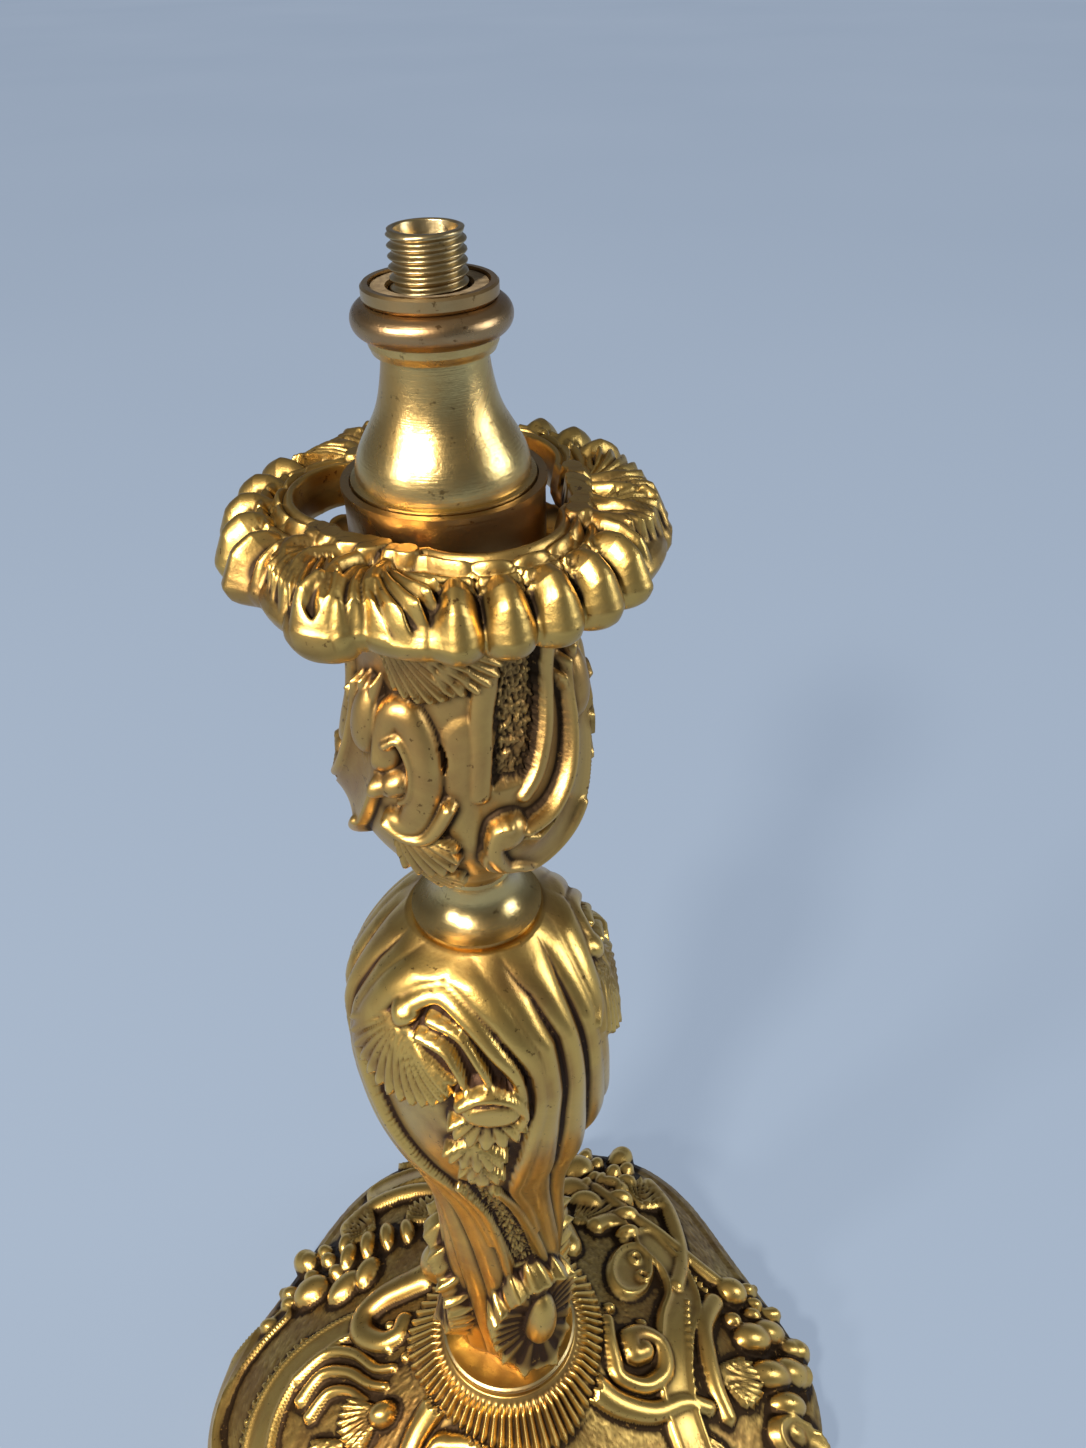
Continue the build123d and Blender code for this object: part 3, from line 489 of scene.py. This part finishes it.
panel_low = np.interp(h, (30, 34, 54, 60), (12, 9, 17, 18))
panel_high = np.interp(h, (30, 36, 45, 54, 60), (26, 40, 47, 49, 50))
matted = np.clip(np.minimum(side - panel_low, panel_high - side) / 1.5, 0,
    1) * np.clip((h - 31) / 1.5, 0, 1)
matted *= np.clip((60.5 - h) / 1.5, 0, 1)
ground = chance.standard_normal(radius.shape)
ground = (ground + np.roll(ground, 1, 0) + np.roll(ground, 1, 1) + np.roll(ground, (1, 1), (0, 1))) / 2
relief = matted * (-1.4 + 0.2 * ground)
bars = np.zeros_like(u)
for piece in (
    fan(u, h, on_vase((-38, 63))[0], -64, 30, 19, 11, 2.2, 0.6),
    fan(u, h, on_vase((-20, 62))[0], -58, 24, 17, 7, 2.4, 0.5),
    ridge(u, h, on_vase((-2, 61), (8, 56), (12, 50), (9, 44), (7, 37), (5, 31)), 2.6, 1.6, 0.6),
    ridge(u, h, on_vase((52, 61), (50, 50), (46, 41), (36, 33), (26, 29)), 1.3, 1.3, 0.9),
    ridge(u, h, on_vase((2, 40), (-4, 32), (-2, 22), (4, 12)), 4.4, 0.7, 0.3),
    ridge(u, h, on_vase((18, 19), (30, 17.5), (44, 20), (56, 25), (66, 33), (73, 43)), 5.0, 3.4, 0.8,
        trough),
    ridge(u, h, on_vase((15, 26), (11, 25), (9, 21), (13, 17), (20, 15.5), (32, 13), (46, 15), (60,
        21)), 1.5, 3.6, 0.8),
    boss(u, h, on_vase((15, 24))[0], 3.6, 2.9, 60, 3.6),
    ridge(u, h, on_vase((24, 24), (38, 25.5), (50, 30), (58, 37), (62, 46)), 1.3, 3.4, 0.7),
    boss(u, h, on_vase((71, 42))[0], 6.6, 3.2, 82, 3.6),
    fan(u, h, on_vase((70, 32))[0], 82, 30, 18, 7, 2.6),
    ridge(u, h, on_vase((-41, 37), (-36, 43), (-28, 44), (-21, 39), (-20, 32), (-26, 26), (-35, 25)),
        3.2, 3.0, 0.75),
    ridge(u, h, on_vase((-35, 40), (-29, 41), (-24, 37), (-25, 32), (-30, 30)), 1.3, 3.6, 0.6),
    boss(u, h, on_vase((-33, 33))[0], 3.0, 2.3, 50, 3.4),
    boss(u, h, on_vase((-41, 32))[0], 3.2, 2.2, 40, 4.0),
    ridge(u, h, on_vase((-38, 25), (-28, 23.5), (-18, 24.5), (-9, 30)), 1.3, 2.8, 1.0),
    fan(u, h, on_vase((-40, 26))[0], -42, 34, 14, 7, 2.6, -0.8),
    fan(u, h, on_vase((-36, 17))[0], -40, 26, 12, 5, 2.4),
):
    bars = np.maximum(bars, piece)
hold = np.clip(bars / 0.5, 0, 1)
relief = relief * (1 - hold) + np.maximum(relief, bars) * hold
relief = np.where((np.hypot(u - math.radians(-14) * vase_mean, (h - 37) * 0.5) < 1.5) & (bars < 0.5),
    -1.4, relief)
relief *= np.clip(h / 2, 0, 1)
relief[:, len(vase_side):] = 0
# The sunk matted panels get extra painted shade and grime.
settle(vase, bearing, radius + relief * np.clip(h / 4, 0, 1), height + vase_base, relief,
    "vase_casting", 5,
       0.35 * matted)
vase.data.materials.append(brass("gilt vase", (0.54, 0.34, 0.105), (0.40, 0.22, 0.075), (0.05, 0.03,
    0.016), 0.36, 0.63))
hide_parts("vase_casting")
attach(vase, "candlestick")

# Drip pan. A loose pierced casting round the drum. Its inner edge is a thin ledge that opens into three crescents.
# Outside the ledge lie ridged rims, a fluted leaf fan, balls and a row of lobes that hang over the edge.
pan_top = [(17 + 14 * s, 0.0) for s in np.linspace(0, 1, 116)]
pan_under = [(17 + 14 * s, -4.0) for s in np.linspace(1, 0, 40)]
pan, bearing, radius, height = lathe("drip_pan", [*pan_top, *pan_under], 600)
s = (radius - 17) / 14
upper = height > -2
inner = np.full_like(radius, 16.6)
for middle in (26, 146, -94):
    off = np.radians((bearing - middle + 180) % 360 - 180)
    gap = 9.5**2 - (14 * np.sin(off)) ** 2
    inner = np.maximum(inner, np.where((gap > 0) & (np.abs(off) < 1.5),
        14 * np.cos(off) + np.sqrt(np.maximum(gap, 0)), 0))
third = (bearing + 94 + 60) % 120 - 60
gadroon = np.abs(np.cos(np.radians(third * 180 / 13)))
hanging = np.clip((33 - np.abs((bearing - 26 + 60) % 120 - 60)) / 6, 0, 1)
outer = 30.0 + 3.1 * hanging * gadroon**0.6 + 1.8 * (1 - hanging) * np.abs(np.cos(np.radians(bearing * 5 + 20))) ** 0.7
inner = 16.6 + 0.6 * (inner - 16.6)
wide = inner + s * (outer - inner)
x, y = wide * np.sin(np.radians(bearing)), -wide * np.cos(np.radians(bearing))
top_line = np.interp(s, (0, 0.05, 0.22, 0.30, 0.5, 0.66, 0.8, 0.9, 0.96, 1),
                     (308.6, 310.1, 310.2, 308.8, 309.4, 309.2, 308.2, 307.2, 306.3, 305.2))
under_line = np.interp(s, (0, 0.05, 0.35, 0.7, 0.88, 0.96, 1), (307.2, 305.2, 304.3, 302.4, 302.2,
    303.2, 304.8))
relief = np.zeros_like(s)
for turn in (0, 120, 240):
    c, d = math.cos(math.radians(turn)), math.sin(math.radians(turn))
    a, b = x * c + y * d, y * c - x * d
    for piece in (
        fan(a, b, on_foot((17.5, -26))[0], -132, 46, 15.5, 9, 3.0, 2.6),
        ridge(a, b, on_foot((18, -34), (21, -44), (25, -48), (30, -45)), 1.5, 3.4, 0.7),
        ridge(a, b, on_foot((18, -28), (22, -35), (27, -35), (31, -30)), 1.4, 3.4, 0.7),
        ridge(a, b, on_foot((18.5, -40), (20, -52), (24, -60), (30, -60)), 1.3, 3.0, 0.7),
        ridge(a, b, on_foot((19, -22), (23, -24), (28, -22)), 1.5, 2.8, 0.7),
        boss(a, b, on_foot((19.2, -17))[0], 2.1, 1.9, 0, 3.4),
        boss(a, b, on_foot((20.5, 62))[0], 2.5, 2.2, 0, 3.8),
        boss(a, b, on_foot((20, -52))[0], 2.4, 2.2, 0, 3.6),
        ridge(a, b, on_foot((20, 66), (24, 62), (27, 66), (29, 74)), 1.8, 3.0, 0.7),
        ridge(a, b, on_foot((19.5, 74), (24, 72), (28, 77), (29, 84)), 1.4, 2.8, 0.7),
        fan(a, b, on_foot((19, 70))[0], -18, 44, 12, 9, 3.0, 1.5),
        ridge(a, b, on_foot((27.5, 84), (30.5, 82), (31.5, 87), (29, 90), (26.5, 88)), 1.3, 3.6, 0.8),
    ):
        relief = np.maximum(relief, piece)
beyond = wide - inner
rims = np.clip(1 - np.abs((bearing + 94 + 60) % 120 - 60) / 44, 0, 1) ** 0.3
rings = 1.3 * np.abs(np.sin(math.pi * beyond / 2.1)) * np.clip((7.2 - beyond) / 1.5, 0, 1) * rims
relief = np.maximum(relief, rings + 0.8 * (rings > 0))
lobes = 2.6 * hanging * gadroon**0.7 * dome(np.clip(np.abs(wide - 28.2) / 5.0, 0, 1))
lobes -= 1.2 * hanging * (1 - gadroon) * (wide > 24)
relief = np.where(lobes < 0, np.minimum(relief + lobes, relief), np.maximum(relief, lobes))
relief *= np.clip(s / 0.04, 0, 1) * np.clip((1 - s) / 0.14, 0.2, 1) * upper
egg = np.clip(1 - (((bearing + 34 + 60) % 120 - 60) / 9) ** 2, 0, 1) ** 0.5
level = np.where(upper, top_line + relief, under_line - 1.6 * egg * (s > 0.5) * (s < 1))
wide = wide + np.where(s > 0.55, 1.5 * egg * (s - 0.55) / 0.45, 0)
turn = np.radians(bearing)
px, py = wide * np.sin(turn), -wide * np.cos(turn) + 1.9
# The pan's hollows are darkened with painted shade and grime through the recess value.
settle(pan, np.degrees(np.arctan2(px, -py)), np.hypot(px, py), np.minimum(level, 312.3), relief,
    "bobeche", 5)
pan.data.materials.append(brass("gilt pan", (0.56, 0.365, 0.105), (0.40, 0.225, 0.07), (0.045, 0.028,
    0.016), 0.34, 0.63))
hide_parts("bobeche")
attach(pan, "bobeche")

# Turned pieces. Dish, neck, drum, bell, loose ring and collar are turned brass with fine lines round their axis.
# They keep the shape that they were built with.
for node, tint, rough, lines in (
    ("foot_dish", (0.50, 0.38, 0.18), 0.34, 0.10),
    ("spool_collar", (0.60, 0.44, 0.18), 0.20, 0.10),
    ("nozzle_drum", (0.42, 0.28, 0.12), 0.26, 0.12),
    ("bell_cover", (0.68, 0.50, 0.20), 0.19, 0.16),
    ("knop_ring", (0.42, 0.28, 0.14), 0.24, 0.14),
    ("top_collar", (0.48, 0.33, 0.15), 0.26, 0.14),
):
    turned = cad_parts[node]
    turned.data.materials.clear()
    warm = tuple(c * k for c, k in zip(tint, (0.78, 0.66, 0.55)))
    turned.data.materials.append(brass(node + " brass", tint, warm, warm, rough, 0.645, lines, False))

# Tie tube. Drawn brass tube that holds the stack together, with a coarse worn thread cut into both ends.
# The top five turns stand clear of the collar.
tube_side = [(4.7, 47.4), *[(5.0, z) for z in np.arange(47.8, 63, 0.13)], *[(5.0,
    z) for z in np.arange(63, 334, 15)],
             *[(5.0, z) for z in np.arange(334, 346.3, 0.13)], (4.75, 346.6), (4.5, 346.7), (4.0,
                 346.7), (3.9, 346.5),
             (3.9, 47.6), (4.0, 47.4)]
tube, bearing, radius, height = lathe("tube", tube_side, 120)
pitch = 1.25
turns = height / pitch - bearing / 360
cut = 0.62 * (0.5 - 0.5 * np.cos(2 * math.pi * turns)) ** 0.8
cut *= np.clip(np.maximum((height - 334.7) / 0.8, (62.4 - height) / 0.8), 0, 1) * (radius > 4.85)
cut += 0.12 * np.sin(np.radians(bearing * 2 + 40)) ** 2 * (cut > 0)
# The thread's grooves go in as recesses, so the brass darkens them with painted shade and grime.
settle(tube, bearing, radius - cut, height, -1.6 * cut, "tie_tube", 2)
tube.data.materials.append(brass("tube brass", (0.52, 0.40, 0.20), (0.36, 0.25, 0.12), (0.05, 0.035,
    0.02), 0.28, 0.64))
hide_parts("tie_tube")
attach(tube, "candlestick")

# Washer and nut. Plain brass fittings on the tube inside the foot, dull and oxidised.
for node in ("base_washer", "clamp_nut"):
    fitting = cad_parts[node]
    fitting.data.materials.clear()
    fitting.data.materials.append(brass(node + " brass", (0.60, 0.42, 0.19), (0.34, 0.21, 0.10),
        (0.2, 0.1, 0.05), 0.32,
                                        0.62, 0.05, False))

# Packing washer. A thin ring of pressed fibre in the collar's recess, brown, fuzzy and dirty.
fibre = bpy.data.materials.new("packing fibre")
fibre.use_nodes = True
nodes, links = fibre.node_tree.nodes, fibre.node_tree.links
where = nodes.new("ShaderNodeTexCoord")
mottle = knot(nodes, "ShaderNodeTexNoise", Scale=700.0, Detail=6.0, Roughness=0.7)
links.new(where.outputs["Object"], mottle.inputs["Vector"])
tone = ramp(nodes, (0.35, (0.12, 0.08, 0.04)), (0.7, (0.30, 0.22, 0.12)))
links.new(mottle.outputs["Fac"], tone.inputs["Fac"])
links.new(tone.outputs["Color"], nodes["Principled BSDF"].inputs["Base Color"])
nodes["Principled BSDF"].inputs["Roughness"].default_value = 0.85
fuzz = knot(nodes, "ShaderNodeBump", Strength=0.5, Distance=0.0003)
links.new(mottle.outputs["Fac"], fuzz.inputs["Height"])
links.new(fuzz.outputs["Normal"], nodes["Principled BSDF"].inputs["Normal"])
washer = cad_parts["packing_washer"]
washer.data.materials.clear()
washer.data.materials.append(fibre)

# Floor. A plain pale steel-blue sheet without end. It looks even to the camera and to the metal.
bm = bmesh.new()
bmesh.ops.create_grid(bm, x_segments=2, y_segments=2, size=12)
floor_mesh = bpy.data.meshes.new("floor")
bm.to_mesh(floor_mesh)
bm.free()
floor = bpy.data.objects.new("floor", floor_mesh)
bpy.context.scene.collection.objects.link(floor)
sheet = bpy.data.materials.new("pale sheet")
sheet.use_nodes = True
nodes, links = sheet.node_tree.nodes, sheet.node_tree.links
cloudy = knot(nodes, "ShaderNodeTexNoise", Scale=1.2, Detail=2.0)
links.new(nodes.new("ShaderNodeTexCoord").outputs["Object"], cloudy.inputs["Vector"])
tone = ramp(nodes, (0.3, (0.305, 0.375, 0.485)), (0.7, (0.32, 0.39, 0.50)))
links.new(cloudy.outputs["Fac"], tone.inputs["Fac"])
nodes["Principled BSDF"].inputs["Base Color"].default_value = (0.07, 0.085, 0.105, 1)
nodes["Principled BSDF"].inputs["Roughness"].default_value = 0.95
nodes["Principled BSDF"].inputs["Specular IOR Level"].default_value = 0.1
links.new(tone.outputs["Color"], nodes["Principled BSDF"].inputs["Emission Color"])
nodes["Principled BSDF"].inputs["Emission Strength"].default_value = 0.92
floor_mesh.materials.append(sheet)

# Light. A hard key from the front left, a smaller one beside it, a soft side light and a dim studio all round.
world = bpy.data.worlds.new("studio")
bpy.context.scene.world = world
world.use_nodes = True
nodes, links = world.node_tree.nodes, world.node_tree.links
split = nodes.new("ShaderNodeSeparateXYZ")
links.new(nodes.new("ShaderNodeTexCoord").outputs["Generated"], split.inputs["Vector"])
sky = ramp(nodes, (0.0, (0.10, 0.12, 0.15)), (0.12, (0.36, 0.42, 0.52)), (0.4, (0.16, 0.17, 0.19)),
    (1.0, (0.50, 0.50, 0.50)))
links.new(split.outputs["Z"], sky.inputs["Fac"])
seen = nodes.new("ShaderNodeLightPath").outputs["Is Camera Ray"]
backdrop = blend(nodes, links, seen, sky.outputs["Color"], (0.56, 0.68, 0.86))
links.new(backdrop, nodes["Background"].inputs["Color"])
nodes["Background"].inputs["Strength"].default_value = 0.55


def lamp(name, place, size, power, colour):
    """A square lamp that points at the candlestick's middle."""
    light = bpy.data.lights.new(name, "AREA")
    light.size, light.energy, light.color = size, power, colour
    made = bpy.data.objects.new(name, light)
    made.location = place
    made.rotation_mode = "QUATERNION"
    made.rotation_quaternion = (Vector((0, 0, 0.2)) - Vector(place)).to_track_quat("-Z", "Y")
    bpy.context.scene.collection.objects.link(made)


lamp("key", (-0.75, -1.15, 1.35), 0.2, 46, (1.0, 0.95, 0.86))
lamp("second key", (-1.25, -0.75, 1.0), 0.16, 20, (1.0, 0.96, 0.90))
lamp("side", (1.3, -0.2, 0.7), 0.5, 7, (0.85, 0.92, 1.0))

# Camera. The photograph's place, direction and lens.
view = bpy.data.cameras.new("camera")
view.lens, view.sensor_width, view.clip_start = 27.35, 36, 0.01
camera = bpy.data.objects.new("camera", view)
side_way, up_way = Vector((0.99448658, -0.10335631, -0.01771789)), Vector((0.07622398, 0.59644837,
    0.79902393))
turned_to = Matrix((side_way, up_way, side_way.cross(up_way))).transposed().to_4x4()
camera.matrix_world = Matrix.Translation((0, -0.14297, 0.37821)) @ turned_to
bpy.context.scene.collection.objects.link(camera)
bpy.context.scene.camera = camera
bpy.context.scene.view_settings.view_transform = "Standard"
